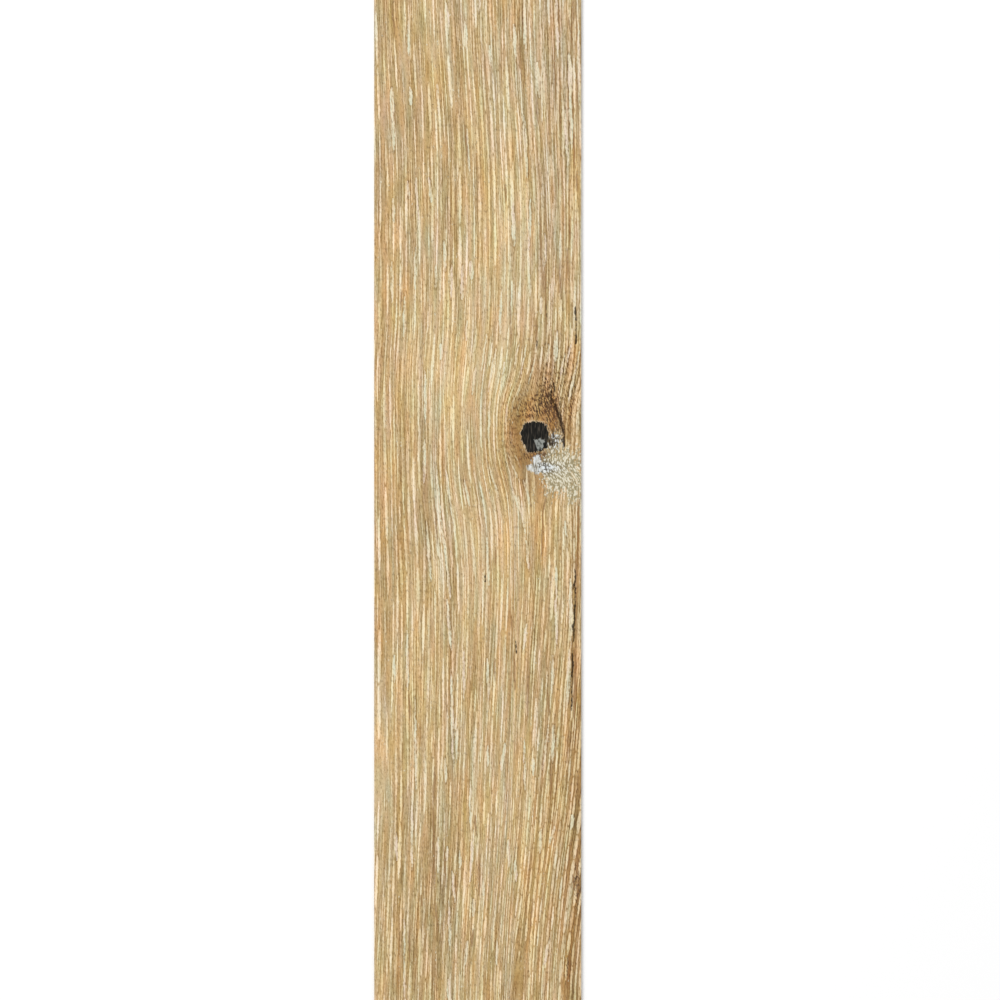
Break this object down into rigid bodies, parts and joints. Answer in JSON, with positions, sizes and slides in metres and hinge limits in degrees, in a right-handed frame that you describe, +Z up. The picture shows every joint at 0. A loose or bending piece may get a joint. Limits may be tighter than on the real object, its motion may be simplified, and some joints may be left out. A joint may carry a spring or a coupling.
{
  "type": "vinyl floor plank",
  "caption": "Long flat vinyl floor plank with square-cut edges, a narrow bevelled rim and an embossed limed oak face, for gluing down edge to edge.",
  "frame": {"origin": "centre of the underside, on the subfloor", "axes": "+X across the plank, +Y along its length and its grain, +Z up out of the wear face"},
  "size_m": [0.1842, 1.2192, 0.0025],
  "materials": {
    "oak_decor_vinyl": "matte"
  },
  "bodies": {
    "root": {"plank": "oak_decor_vinyl"}
  },
  "joints": []
}
